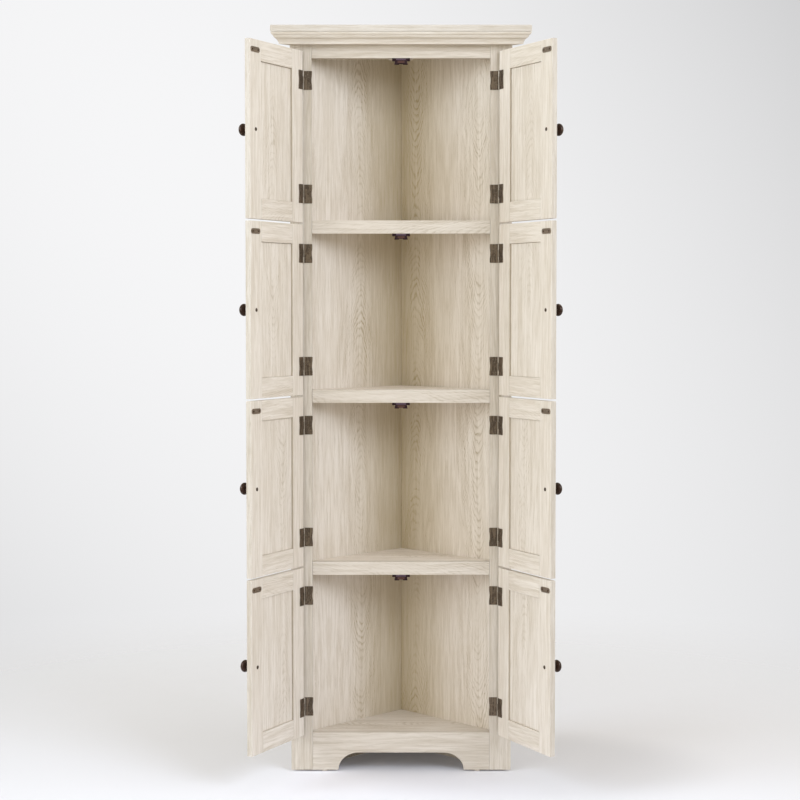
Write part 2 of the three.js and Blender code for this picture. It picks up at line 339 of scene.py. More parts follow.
oakLook = {
    "pale": linear(221, 213, 205),
    "shade": linear(210, 200, 190),
    "streak": linear(186, 173, 156),
    "ring": linear(168, 153, 131),
    "pore": linear(160, 145, 122),
    "worn": linear(227, 221, 214),
    "light": 1,
    "toneAmount": 0.5,
    "streakAmount": 0.58,
    "ringAmount": 1,
    "poreAmount": 0.5,
    "wornAmount": 0.25,
    "roughness": 0.6,
    "roughnessSpread": 0.05,
    "coat": 0.06,
    "coatRoughness": 0.45,
    "specular": 0.35,
    "wearPatch": 30,
    "toneRange": (0.3, 0.7),
    "bumpHeight": 0.35 * mm,
    "bumpStrength": 0.45,
    "ringWidth": 0.0085,
    "climb": 0.42,
    "reach": 0.12,
    "steepness": 0.08,
    "fold": 10,
}


def makeOak(name, **changes):
    look = {**oakLook, **changes}
    material, tree, shader = newMaterial(name)
    shader["Coat Weight"].default_value = look["coat"]
    shader["Coat Roughness"].default_value = look["coatRoughness"]
    shader["Specular IOR Level"].default_value = look["specular"]
    grain = readAttribute(tree, "grain", "Vector")
    seed = readAttribute(tree, "board", "Fac")
    edge = readAttribute(tree, "edge", "Fac")
    figure = placeGroup(tree, oakFigure, Grain=grain, Seed=seed, RingWidth=look["ringWidth"],
                        Climb=look["climb"], Reach=look["reach"], Steepness=look["steepness"],
                        Fold=look["fold"])
    worn = placeGroup(tree, edgeWear, Edge=edge, Place=grain, Patch=look["wearPatch"])["Worn"]
    paint = {layer: tuple(look["light"] * part for part in look[layer])
             for layer in ("pale", "shade", "streak", "ring", "pore", "worn")}
    tone = remap(tree, figure["Tone"], *look["toneRange"], 0, look["toneAmount"])
    colour = mixColour(tree, tone, paint["pale"], paint["shade"])
    for mask, layer in (("Streaks", "streak"), ("Rings", "ring"), ("Pores", "pore")):
        amount = calc(tree, "MULTIPLY", figure[mask], look[layer + "Amount"], clamp=True)
        colour = mixColour(tree, amount, colour, paint[layer])
    colour = mixColour(tree, calc(tree, "MULTIPLY", worn, look["wornAmount"]), colour, paint["worn"])
    if "cornerDark" in look:
        # painted shade: the inner faces darken towards the corner of the room, where shade falls
        spot = tree.nodes.new("ShaderNodeTexCoord").outputs["Object"]
        away = calc(tree, "ABSOLUTE", split(tree, spot)[0])
        dark = remap(tree, away, 0, look["cornerRun"], look["cornerAmount"], 0)
        dark = calc(tree, "MULTIPLY", dark, calc(tree, "SUBTRACT", 2, dark))
        colour = mixColour(tree, dark, colour, look["cornerDark"])
    feed(tree, shader["Base Color"], colour)
    rough, spread = look["roughness"], look["roughnessSpread"]
    feed(tree, shader["Roughness"], remap(tree, figure["Streaks"], 0, 1, rough + spread, rough - spread))
    addBump(tree, shader, figure["Height"], look["bumpHeight"], look["bumpStrength"])
    return material


# One oak, lighter or darker for each part: partly the boards' own tone, partly painted light and shade that
# set how bright each part looks
oak = {
    "case": makeOak("caseOak", light=0.885, pale=linear(222, 213, 203), streakAmount=0.7,
                    ringAmount=0.7),
    "crown": makeOak("crownOak", light=0.98, ringAmount=0.6),
    "top": makeOak("topOak", light=0.81, ringAmount=0.7),
    "back": makeOak("backOak", light=1.03),
    # the inner faces carry painted shade towards the room's corner
    "inner": makeOak("innerOakCornerShade", light=1.056, fold=0.11, cornerDark=linear(148, 128, 66), cornerRun=0.14,
                     cornerAmount=0.3),
    "shelf": makeOak("shelfOak", light=1.14),
    "floor": makeOak("floorOak", light=1),
    "lip": makeOak("lipOak", light=0.935, ringAmount=0.55, streakAmount=0.5),
    "door": makeOak("doorOak", light=1.055, ringAmount=0.42),
    # darker copies of the oak for the doors' edges and outer faces
    "doorEdge": makeOak("doorEdgeOak", light=0.88),
    "doorFront": makeOak("doorFrontOak", light=0.92, ringAmount=0.6, streakAmount=0.66),
    # the walls round the door panels: painted shade
    "doorWall": makeOak("doorWallShadeOak", light=0.79, pale=linear(221, 209, 193),
                        shade=linear(210, 196, 178)),
}

metalLooks = {
    "hinge": {"base": linear(118, 104, 90), "dark": linear(52, 42, 35), "bright": linear(158, 142, 124),
              "metallic": 0.85, "roughness": 0.42, "cloud": 160, "bump": 0.12 * mm},
    # lighter rubbed bronze on the knuckles and pin ends: partly wear, partly a painted highlight along the
    # barrel
    "knuckle": {"base": linear(178, 168, 155), "dark": linear(138, 127, 115),
                "bright": linear(205, 196, 184), "metallic": 0.4, "roughness": 0.36, "cloud": 200,
                "bump": 0.08 * mm},
    "knob": {"base": linear(62, 42, 34), "dark": linear(36, 25, 21), "bright": linear(130, 100, 82),
             "metallic": 0.6, "roughness": 0.24, "cloud": 120, "bump": 0.1 * mm},
    "screw": {"base": linear(92, 74, 60), "dark": linear(48, 38, 32), "bright": linear(150, 128, 106),
              "metallic": 0.9, "roughness": 0.38, "cloud": 300, "bump": 0.06 * mm},
    "strike": {"base": linear(140, 126, 112), "dark": linear(104, 90, 78), "bright": linear(182, 168, 152),
               "metallic": 0.85, "roughness": 0.38, "cloud": 200, "bump": 0.08 * mm},
}
metalFinish = {"wearPatch": 260, "brightShare": 0.5, "wornShare": 0.8, "metallicLoss": 0.2,
               "roughnessGain": 0.18, "bumpStrength": 0.5}


def makeMetal(name, look):
    finish = metalFinish
    material, tree, shader = newMaterial(name)
    place = readAttribute(tree, "grain", "Vector")
    seed = readAttribute(tree, "board", "Fac")
    edge = readAttribute(tree, "edge", "Fac")
    patina = placeGroup(tree, metalPatina, Place=place, Seed=seed, Cloud=look["cloud"])
    worn = placeGroup(tree, edgeWear, Edge=edge, Place=place, Patch=finish["wearPatch"])["Worn"]
    dark = patina["Dark"]
    colour = mixColour(tree, dark, look["base"], look["dark"])
    bright = calc(tree, "MAXIMUM", calc(tree, "MULTIPLY", patina["Bright"], finish["brightShare"]),
                  calc(tree, "MULTIPLY", worn, finish["wornShare"]))
    colour = mixColour(tree, bright, colour, look["bright"])
    feed(tree, shader["Base Color"], colour)
    metallic, rough = look["metallic"], look["roughness"]
    feed(tree, shader["Metallic"], remap(tree, dark, 0, 1, metallic, metallic - finish["metallicLoss"]))
    feed(tree, shader["Roughness"], remap(tree, dark, 0, 1, rough, rough + finish["roughnessGain"]))
    addBump(tree, shader, patina["Height"], look["bump"], finish["bumpStrength"])
    return material


metal = {name: makeMetal(name + "Metal", look) for name, look in metalLooks.items()}

plasticLooks = {
    "housing": {"base": linear(34, 16, 20), "light": linear(62, 42, 48), "roughness": 0.7, "cloud": 700},
    "face": {"base": linear(74, 48, 44), "light": linear(100, 72, 62), "roughness": 0.5, "cloud": 500},
    "label": {"base": linear(84, 66, 78), "light": linear(104, 88, 98), "roughness": 0.5, "cloud": 500},
}
plasticFinish = {"specular": 0.2, "seed": 1.3, "mottle": (0.45, 0.7, 0, 0.4), "wearPatch": 200,
                 "wornShare": 0.7, "roughRange": (0.3, 0.7), "roughnessGain": 0.15, "bump": 0.04 * mm,
                 "bumpStrength": 0.4}


def makePlastic(name, look):
    finish = plasticFinish
    material, tree, shader = newMaterial(name)
    shader["Specular IOR Level"].default_value = finish["specular"]
    place = readAttribute(tree, "grain", "Vector")
    edge = readAttribute(tree, "edge", "Fac")
    mottle = noise(tree, place, finish["seed"], look["cloud"], detail=3)
    worn = placeGroup(tree, edgeWear, Edge=edge, Place=place, Patch=finish["wearPatch"])["Worn"]
    light = calc(tree, "MAXIMUM", remap(tree, mottle, *finish["mottle"]),
                 calc(tree, "MULTIPLY", worn, finish["wornShare"]))
    feed(tree, shader["Base Color"], mixColour(tree, light, look["base"], look["light"]))
    rough = look["roughness"]
    rough = remap(tree, mottle, *finish["roughRange"], rough, rough + finish["roughnessGain"])
    feed(tree, shader["Roughness"], rough)
    addBump(tree, shader, mottle, finish["bump"], finish["bumpStrength"])
    return material


plastic = {name: makePlastic(name + "Plastic", look) for name, look in plasticLooks.items()}
print("finishes ready")


# Mesh building. A pile gathers the boards or parts of one piece before it becomes an object.

def newPile():
    return {"points": [], "faces": [], "grain": [], "board": [], "edge": [], "finish": [], "smooth": []}


grainShift = 4  # how far apart, at most, the figures of two boards lie on the one trunk


# Adds a bmesh to a pile. along and across say how the grain lies, heart is where its middle runs.
def pour(pile, bm, along=(0, 0, 1), across=(1, 0, 0), heart=0.0, finish=0, eased=(), seed=None, flat=False):
    along, across = Vector(along), Vector(across)
    depth = along.cross(across)
    seed = boardDraw.random() if seed is None else seed
    shift = grainShift * seed
    start = len(pile["points"])
    bm.verts.index_update()
    bm.normal_update()
    for vert in bm.verts:
        pile["points"].append(tuple(vert.co))
        pile["grain"].append((vert.co.dot(across) - heart, vert.co.dot(depth), vert.co.dot(along) + shift))
        pile["board"].append(seed)
    for face in bm.faces:
        pile["faces"].append([start + vert.index for vert in face.verts])
        pile["edge"].append(1.0 if face in eased else 0.0)
        pile["finish"].append(finish(face) if callable(finish) else finish)
        pile["smooth"].append(not flat)
    bm.free()


def makePiece(name, pile, materials, body, nodes=(), place=None, sharpAngle=40):
    mesh = bpy.data.meshes.new(name)
    mesh.from_pydata(pile["points"], [], pile["faces"])
    for label, kind, domain in (("grain", "FLOAT_VECTOR", "POINT"), ("board", "FLOAT", "POINT"),
                                ("edge", "FLOAT", "FACE")):
        layer = mesh.attributes.new(label, kind, domain)
        field = "vector" if kind == "FLOAT_VECTOR" else "value"
        values = [c for v in pile[label] for c in v] if kind == "FLOAT_VECTOR" else pile[label]
        layer.data.foreach_set(field, values)
    mesh.polygons.foreach_set("use_smooth", pile["smooth"])
    mesh.polygons.foreach_set("material_index", pile["finish"])
    for material in materials:
        mesh.materials.append(material)
    mesh.set_sharp_from_angle(angle=math.radians(sharpAngle))
    piece = bpy.data.objects.new(name, mesh)
    bpy.context.scene.collection.objects.link(piece)
    weighted = piece.modifiers.new("evenNormals", "WEIGHTED_NORMAL")
    weighted.keep_sharp = True
    if place is not None:
        piece.matrix_world = place
    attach(piece, body)
    if nodes:
        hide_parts(*nodes)


# An outline (two numbers per point) pushed from low to high. toSpace puts (u, v, w) in the piece's space.
def prism(outline, low, high, toSpace=Matrix.Identity(4)):
    bm = bmesh.new()
    rings = [[bm.verts.new(toSpace @ Vector((u, v, w))) for u, v in outline] for w in (low, high)]
    count = len(outline)
    bm.faces.new(rings[0][::-1])
    bm.faces.new(rings[1])
    for i in range(count):
        j = (i + 1) % count
        bm.faces.new((rings[0][i], rings[0][j], rings[1][j], rings[1][i]))
    bmesh.ops.recalc_face_normals(bm, faces=bm.faces)
    return bm


def box(low, high):
    (x0, y0, z0), (x1, y1, z1) = low, high
    return prism([(x0, y0), (x1, y0), (x1, y1), (x0, y1)], z0, z1)


leastTurn = math.radians(30)


# Rounds the corners that turn by more than leastTurn, or those of them that keep picks
def ease(bm, width, segments=2, keep=None):
    edges = [edge for edge in bm.edges if edge.is_manifold and edge.calc_face_angle(0) > leastTurn]
    if keep is not None:
        edges = [edge for edge in edges if keep(edge)]
    made = bmesh.ops.bevel(bm, geom=edges, offset=width, offset_type="OFFSET", segments=segments,
                           profile=0.5, affect="EDGES", clamp_overlap=True)
    return set(made["faces"])


flatOn, easedOn = 0.9, 0.5  # how squarely a face looks a given way, without and with its eased edge
endSlack = 0.01 * mm


# Boards that butt against others keep the corners of their ends sharp, so that the joints close
def clearOfEnds(reach):
    return lambda edge: any(abs(abs(vert.co.x) - reach) > endSlack for vert in edge.verts)


facing = Matrix(((1, 0, 0, 0), (0, 0, 1, 0), (0, 1, 0, 0), (0, 0, 0, 1)))  # (u, v, w) to (x, z, y)


# Points of an ellipse round a centre, between two angles in degrees
def arc(centre, radii, start, end, steps):
    turns = [math.radians(start + (end - start) * i / steps) for i in range(steps + 1)]
    return [(centre[0] + radii[0] * math.cos(turn), centre[1] + radii[1] * math.sin(turn)) for turn in turns]


def circle(radius, sides):
    turns = [2 * math.pi * i / sides for i in range(sides)]
    return [(radius * math.cos(turn), radius * math.sin(turn)) for turn in turns]


# A turned shape: (radius, height) pairs about the Z axis, from the first end to the last
def turned(profile, sides, toSpace=Matrix.Identity(4)):
    bm = bmesh.new()
    rows = []
    for radius, height in profile:
        spots = circle(radius, sides) if radius > 0 else [(0, 0)]
        rows.append([bm.verts.new(toSpace @ Vector((x, y, height))) for x, y in spots])
    for lower, upper in zip(rows, rows[1:]):
        for i in range(sides):
            j = (i + 1) % sides
            corners = (lower[i % len(lower)], lower[j % len(lower)], upper[j % len(upper)],
                       upper[i % len(upper)])
            bm.faces.new(list(dict.fromkeys(corners)))
    for row in (rows[0], rows[-1]):
        if len(row) > 1:
            bm.faces.new(row)
    bmesh.ops.recalc_face_normals(bm, faces=bm.faces)
    return bm


# Places along the case
stileLow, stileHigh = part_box("left_stile")
railLow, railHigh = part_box("top_rail")
baseLow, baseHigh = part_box("bottom_rail")
boardLow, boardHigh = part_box("top_board")
panelLow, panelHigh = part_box("left_back_panel")
frontY = stileLow.y
frameBackY = stileHigh.y
frameDepth = frameBackY - frontY
halfWidth = -stileLow.x
halfOpening = -stileHigh.x
frameTop = stileHigh.z
footHeight = stileLow.z
railTop = baseHigh.z

# Face frame
frameLook = {"ease": 0.8 * mm, "archHalf": 155 * mm, "archRun": 50 * mm, "archRise": 43 * mm,
             "archSteps": 14, "padRadius": 8.5 * mm, "padSides": 32, "padFromStile": 30 * mm,
             "heartAway": 110 * mm, "catchBlockHalf": 30 * mm, "catchBlockHeight": 26 * mm,
             "seatGap": 0.2 * mm}
padLook = {"ease": 1.2 * mm, "easeSteps": 4}


# A pad under a foot or under the corner, with its rim rounded at the floor
def pourPad(pile, radius, sides, x, y):
    rounding = padLook["ease"]
    rim = arc((radius - rounding, rounding), (rounding, rounding), -90, 0, padLook["easeSteps"])
    profile = [(0, 0), *rim, (radius, footHeight), (0, footHeight)]
    pour(pile, turned(profile, sides, Matrix.Translation((x, y, 0))))


def makeStile(side, name):
    pile = newPile()
    plan = [(side * halfOpening, frontY), (side * halfWidth, frontY),
            (side * (halfWidth - frameDepth), frameBackY), (side * halfOpening, frameBackY)]
    bm = prism(plan, footHeight, frameTop)
    eased = ease(bm, frameLook["ease"])
    pour(pile, bm, heart=side * (halfOpening - frameLook["heartAway"]), eased=eased)
    makePiece(name + "StileBoard", pile, [oak["case"]], "case", [name + "_stile"])


def makeTopRail():
    pile = newPile()
    look = frameLook
    railBottom = railLow.z
    heart = railBottom - look["heartAway"]
    bm = box((railLow.x, frontY, railBottom), (railHigh.x, frameBackY, frameTop))
    eased = ease(bm, look["ease"], keep=clearOfEnds(railHigh.x))
    pour(pile, bm, (1, 0, 0), (0, 0, 1), heart, eased=eased)
    half = look["catchBlockHalf"]
    bm = box((-half, frameBackY + look["seatGap"], railBottom),
             (half, railHigh.y, railBottom + look["catchBlockHeight"]))
    pour(pile, bm, (1, 0, 0), (0, 0, 1), heart, eased=ease(bm, look["ease"]))
    makePiece("topRailBoard", pile, [oak["case"]], "case", ["top_rail"])


def makeBottomRail():
    pile = newPile()
    look = frameLook
    run, rise, steps = look["archRun"], look["archRise"], look["archSteps"]
    flat = look["archHalf"] - run
    outline = [(baseLow.x, footHeight),
               *arc((-flat, footHeight), (run, rise), 180, 90, steps),
               *arc((flat, footHeight), (run, rise), 90, 0, steps),
               (baseHigh.x, footHeight), (baseHigh.x, railTop), (baseLow.x, railTop)]
    bm = prism(outline, frontY, frameBackY, facing)
    eased = ease(bm, look["ease"], keep=clearOfEnds(baseHigh.x))
    pour(pile, bm, (1, 0, 0), (0, 0, 1), -look["heartAway"], eased=eased)
    for side in (-1, 1):
        away = halfOpening - look["padFromStile"]
        pourPad(pile, look["padRadius"], look["padSides"], side * away, frontY + frameDepth / 2)
    makePiece("bottomRailBoard", pile, [oak["case"]], "case", ["bottom_rail"])


for side, name in ((-1, "left"), (1, "right")):
    makeStile(side, name)
makeTopRail()
makeBottomRail()
print("face frame ready")

# Back panels, floor and shelves
backLook = {"thickness": 16 * mm, "ease": 0.8 * mm, "gap": 0.3 * mm, "rearPadRadius": 7 * mm,
            "rearPadSides": 28, "rearPadFromCorner": 40 * mm, "leftHeart": -0.05, "rightHeart": 0.335}
panelFrontY = panelLow.y
cornerY = panelHigh.y
outerReach = cornerY - frontY
innerReach = outerReach - backLook["thickness"] / wallTurn


# The face towards the shelves has the second finish
def makeBackPanel(side, name, plan, heartShare):
    look = backLook
    pile = newPile()
    bm = prism([(x, y + frontY) for x, y in plan], footHeight, frameTop)
    eased = ease(bm, look["ease"])
    front = panelFrontY - frontY
    across = Vector((wallTurn, -side * wallTurn, 0))
    inward = Vector((-side * wallTurn, -wallTurn, 0))
    corner = Vector((0, innerReach + frontY, 0))
    frontEnd = Vector((side * (innerReach - front), panelFrontY, 0))
    width = (innerReach - front) / wallTurn
    heart = ((corner + frontEnd) / 2).dot(across) - width * heartShare
    pour(pile, bm, across=across, heart=heart, eased=eased,
         finish=lambda face: int(face.normal.dot(inward) > flatOn))
    padAway = look["rearPadFromCorner"] * wallTurn
    padY = (outerReach + innerReach) / 2 - padAway + frontY
    pourPad(pile, look["rearPadRadius"], look["rearPadSides"], side * padAway, padY)
    makePiece(name + "BackBoard", pile, [oak["back"], oak["inner"]], "case",
              [name + "_back_panel"])


# The panels meet in a butt joint. Their plans are drawn from the front of the case.
def makeBackPanels():
    cut = backLook["thickness"] * wallTurn
    gap = backLook["gap"] * wallTurn
    front = panelFrontY - frontY
    left = [(front - outerReach, front), (front - innerReach, front), (cut, outerReach - cut),
            (0, outerReach)]
    right = [(outerReach - front, front), (cut + gap, outerReach - cut - gap), (gap, innerReach - gap),
             (innerReach - front, front)]
    makeBackPanel(-1, "left", left, backLook["leftHeart"])
    makeBackPanel(1, "right", right, backLook["rightHeart"])


shelfLook = {"board": 18 * mm, "boardEase": 0.45 * mm, "boardHeart": 100 * mm, "lip": 32 * mm,
             "setback": 2 * mm, "lipDepth": 22 * mm, "endGap": 0.6 * mm, "lipEase": 1.8 * mm,
             "seam": 0.15 * mm, "lipHeart": 55 * mm, "lipHeartRange": (0.5, 1)}
shelfFinishes = [oak["shelf"], oak["lip"]]
lipPart = 1
shelfNodes = ("upper_shelf", "middle_shelf", "lower_shelf")


# A corner board between the back panels. With a notch it reaches on between the stiles.
def cornerPlan(front, notch=None):
    reach = innerReach - backLook["gap"] / wallTurn
    start = panelFrontY - frontY
    plan = [(start - reach, panelFrontY)]
    if notch is not None:
        plan += [(-notch, panelFrontY), (-notch, front), (notch, front), (notch, panelFrontY)]
    return plan + [(reach - start, panelFrontY), (0, frontY + reach)]


def makeShelf(name, node):
    look = shelfLook
    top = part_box(node)[1].z
    pile = newPile()
    half = halfOpening - look["endGap"]
    lipFront = frontY + look["setback"]
    lipBack = lipFront + look["lipDepth"]
    bm = prism(cornerPlan(lipBack + look["seam"], half), top - look["board"], top)
    pour(pile, bm, (1, 0, 0), (0, 1, 0), frontY + look["boardHeart"], eased=ease(bm, look["boardEase"]))
    bm = box((-half, lipFront, top - look["lip"]), (half, lipBack, top))
    eased = ease(bm, look["lipEase"], segments=3, keep=clearOfEnds(half))
    heart = top - look["lipHeart"] * boardDraw.uniform(*look["lipHeartRange"])
    pour(pile, bm, (1, 0, 0), (0, 0, 1), heart, eased=eased, finish=lipPart)
    makePiece(name, pile, shelfFinishes, "case", [node])


floorLook = {"ease": 0.9 * mm, "heart": 90 * mm}


def makeFloor():
    low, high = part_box("floor_panel")
    pile = newPile()
    bm = prism(cornerPlan(panelFrontY), low.z, high.z)
    eased = ease(bm, floorLook["ease"])
    pour(pile, bm, (1, 0, 0), (0, 1, 0), frontY + floorLook["heart"], eased=eased)
    makePiece("floorBoard", pile, [oak["floor"]], "case", ["floor_panel"])


makeBackPanels()
makeFloor()
for node in shelfNodes:
    makeShelf(node.split("_")[0] + "ShelfBoard", node)
print("walls and shelves ready")

# Top board and crown moulding
topLook = {"ease": 1.6 * mm, "across": (0, 0.8, 0.6), "heart": 120 * mm}


def makeTopBoard():
    pile = newPile()
    plan = [(boardLow.x, boardLow.y), (boardHigh.x, boardLow.y), (0, boardHigh.y)]
    bm = prism(plan, boardLow.z, boardHigh.z)
    eased = ease(bm, topLook["ease"], segments=3)
    pour(pile, bm, (1, 0, 0), topLook["across"], topLook["heart"], eased=eased)
    makePiece("topBoardPlank", pile, [oak["top"]], "case", ["top_board"])


crownLook = {"edgeEase": 0.5 * mm, "reach": 43.6 * mm, "lip": 2 * mm, "fillet": 0.7 * mm,
             "upperDrop": 6 * mm, "upperRun": 4.4 * mm, "roundDrop": 7 * mm, "roundRun": 5.8 * mm,
             "flat": 0.3, "coveDrop": 8.5 * mm, "coveRun": 6.2 * mm, "bendRunShare": 0.6,
             "bendDropShare": 0.3, "steps": 10, "gap": 0.3 * mm, "across": (0, -0.6, 0.8), "heart": 1.35}


# A quarter curve between two corners of the profile, bending towards the middle point
def quarter(first, bend, last, steps):
    return [tuple((1 - t) ** 2 * a + 2 * t * (1 - t) * b + t * t * c for a, b, c in zip(first, bend, last))
            for t in (i / steps for i in range(steps + 1))]


# Seen from its end the moulding has a lip, two rounds, a hollow and a foot, with a fillet between them
def makeCrown():
    low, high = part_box("crown_moulding")
    look = crownLook
    reach, steps, flat = look["reach"], look["steps"], look["flat"]
    lipBottom = boardLow.z - look["lip"]
    upperBottom = lipBottom - look["upperDrop"]
    roundBottom = upperBottom - look["roundDrop"]
    coveBottom = roundBottom - look["coveDrop"]
    upperReach = reach - look["upperRun"]
    roundReach = upperReach - look["fillet"]
    roundEnd = roundReach - look["roundRun"]
    coveReach = roundEnd - look["fillet"]
    footReach = coveReach - look["coveRun"]
    neck = footReach - look["fillet"]
    # the rounds are flattened, so that they end on a slope
    upperBend = (reach - look["upperRun"] * flat, upperBottom + look["upperDrop"] * flat)
    roundBend = (roundReach - look["roundRun"] * flat, roundBottom + look["roundDrop"] * flat)
    coveBend = (coveReach - look["coveRun"] * look["bendRunShare"],
                roundBottom - look["coveDrop"] * look["bendDropShare"])
    profile = [(look["gap"], low.z), (look["gap"], high.z), (reach, high.z),
               *quarter((reach, lipBottom), upperBend, (upperReach, upperBottom), steps),
               *quarter((roundReach, upperBottom), roundBend, (roundEnd, roundBottom), steps),
               *quarter((coveReach, roundBottom), coveBend, (footReach, coveBottom), steps),
               (neck, coveBottom), (neck, low.z)]
    pile = newPile()
    bm = bmesh.new()
    ends = [[bm.verts.new((side * (halfWidth + out), frontY - out, z)) for out, z in profile]
            for side in (-1, 1)]
    count = len(profile)
    for i in range(count):
        j = (i + 1) % count
        bm.faces.new((ends[0][i], ends[0][j], ends[1][j], ends[1][i]))
    for end in ends:
        bm.faces.new(end)
    bmesh.ops.recalc_face_normals(bm, faces=bm.faces)
    eased = ease(bm, look["edgeEase"], segments=1)
    pour(pile, bm, (1, 0, 0), look["across"], look["heart"], eased=eased)
    makePiece("crownStrip", pile, [oak["crown"]], "case", ["crown_moulding"])


makeTopBoard()
makeCrown()
print("top and crown ready")

# Fittings, drawn once each and placed many times
screwLook = {"radius": 3.4 * mm, "height": 0.7 * mm, "buried": 0.3 * mm, "rimHeight": 0.15 * mm,
             "dome": ((0.93, 0.5), (0.8, 0.85), (0.66, 1)), "crossLength": 2.1 * mm, "crossWidth": 0.5 * mm,
             "crossDepth": 0.55 * mm, "crossTaper": 0.8, "sides": 24}


# A domed screw head with a cross recess, its top towards +Z. The cross is drawn for the look's radius.
def screwHead(toSpace, radius, twist):
    look = screwLook
    sides, height = look["sides"], look["height"]
    rows = [(1, -look["buried"]), (1, look["rimHeight"])]
    rows += [(share, rise * height) for share, rise in look["dome"]]
    bm = bmesh.new()
    rings = [[bm.verts.new((x, y, z)) for x, y in circle(radius * share, sides)] for share, z in rows]
    for lower, upper in zip(rings, rings[1:]):
        for i in range(sides):
            j = (i + 1) % sides
            bm.faces.new((lower[i], lower[j], upper[j], upper[i]))
    bm.faces.new(rings[0][::-1])
    scale = radius / look["radius"]
    long, wide = look["crossLength"] * scale, look["crossWidth"] * scale
    cross = [(long, -wide), (long, wide), (wide, wide), (wide, long), (-wide, long), (-wide, wide),
             (-long, wide), (-long, -wide), (-wide, -wide), (-wide, -long), (wide, -long), (wide, -wide)]
    turn = Matrix.Rotation(twist, 3, "Z")
    taper, bottom = look["crossTaper"], height - look["crossDepth"]
    top = [bm.verts.new(turn @ Vector((x, y, height))) for x, y in cross]
    floor = [bm.verts.new(turn @ Vector((x * taper, y * taper, bottom))) for x, y in cross]
    rim = [bm.edges.get((rings[-1][i], rings[-1][(i + 1) % sides])) for i in range(sides)]
    cut = [bm.edges.new((top[i], top[(i + 1) % len(top)])) for i in range(len(top))]
    bmesh.ops.triangle_fill(bm, use_beauty=True, use_dissolve=False, edges=rim + cut)
    for i in range(len(cross)):
        j = (i + 1) % len(cross)
        bm.faces.new((top[i], top[j], floor[j], floor[i]))
    bm.faces.new(floor)
    bmesh.ops.recalc_face_normals(bm, faces=bm.faces)
    bm.transform(toSpace)
    return bm


# Turns a shape drawn with its top at +Z so that the top points along a direction
def pointing(where, direction):
    return Matrix.Translation(where) @ Vector(direction).to_track_quat("Z", "Y").to_matrix().to_4x4()


# A CAD node's box in the space of a hinge pin, with the door closed
def localBox(node, place):
    back = place.inverted()
    points = [back @ v.co for v in frame["nodes"][node].data.vertices]
    return (Vector([min(p[i] for p in points) for i in range(3)]),
            Vector([max(p[i] for p in points) for i in range(3)]))


doorLook = {"stile": 48 * mm, "rail": 48 * mm, "recess": 4.5 * mm, "ease": 0.9 * mm, "joint": 0.12 * mm,
            "tongue": 3 * mm, "groove": 2.2 * mm, "grooveDepth": 1.2 * mm, "shadeDepthShare": 0.25,
            "heartAway": 100 * mm, "heartRange": (0.8, 1.2), "railHeart": 35 * mm,
            "railHeartRange": (0, 1.6), "heartDrift": 35 * mm}
doorFinishes = [oak[part] for part in ("door", "doorEdge", "doorWall", "doorFront")]
innerFace, edgeFace, paintedShadeFace, outerFace = range(len(doorFinishes))


# A stile's outer face and outer edge get darker copies of the oak, and the wall towards the panel gets
# painted shade
def stileFinish(face, inward):
    if face.normal.y < -easedOn:
        return outerFace
    if face.normal.x * inward > easedOn:
        return paintedShadeFace
    return edgeFace if face.normal.x * inward < -flatOn else innerFace


# The wall under the upper rail gets painted shade, and the one above the lower rail stays pale
def railFinish(face, shaded):
    if face.normal.y < -easedOn:
        return outerFace
    return paintedShadeFace if shaded and face.normal.z < -easedOn else innerFace


def makeDoor(name, place):
    low, high = localBox(name, place)
    look = doorLook
    pile = newPile()
    stile, rail, joint = look["stile"], look["rail"], look["joint"]
    for left, inward in ((low.x, 1), (high.x - stile, -1)):
        bm = box((left, low.y, low.z), (left + stile, high.y, high.z))
        heart = left - look["heartAway"] * boardDraw.uniform(*look["heartRange"])
        pour(pile, bm, (0, 0, 1), (1, 0, 0), heart, eased=ease(bm, look["ease"]),
             finish=lambda face: stileFinish(face, inward))
    for bottom, shaded in ((low.z, False), (high.z - rail, True)):
        bm = box((low.x + stile + joint, low.y, bottom), (high.x - stile - joint, high.y, bottom + rail))
        heart = bottom - look["railHeart"] * boardDraw.uniform(*look["railHeartRange"])
        pour(pile, bm, (1, 0, 0), (0, 0, 1), heart, eased=ease(bm, look["ease"]),
             finish=lambda face: railFinish(face, shaded))
    # the panel sits in the frame with a thin groove round each of its faces
    tongue, sunk = look["tongue"], look["recess"] + look["grooveDepth"]
    bm = box((low.x + stile - tongue, low.y + sunk, low.z + rail - tongue),
             (high.x - stile + tongue, high.y - sunk, high.z - rail + tongue))
    faces = [face for face in bm.faces if abs(face.normal.y) > flatOn]
    bmesh.ops.inset_individual(bm, faces=faces, thickness=tongue + look["groove"])
    raised = bmesh.ops.extrude_discrete_faces(bm, faces=faces)["faces"]
    for face in raised:
        bmesh.ops.translate(bm, verts=face.verts, vec=face.normal * look["grooveDepth"])
    middle = (low.x + high.x) / 2 + boardDraw.uniform(-look["heartDrift"], look["heartDrift"])
    # the deeper faces of the groove get painted shade
    shadedDepth = look["recess"] + look["grooveDepth"] * look["shadeDepthShare"]

    def panelFinish(face):
        if low.y + shadedDepth < face.calc_center_median().y < high.y - shadedDepth:
            return paintedShadeFace
        return outerFace if face.normal.y < -easedOn else innerFace

    pour(pile, bm, heart=middle, flat=True, finish=panelFinish)
    makePiece(name + "Leaf", pile, doorFinishes, name, [name], place)


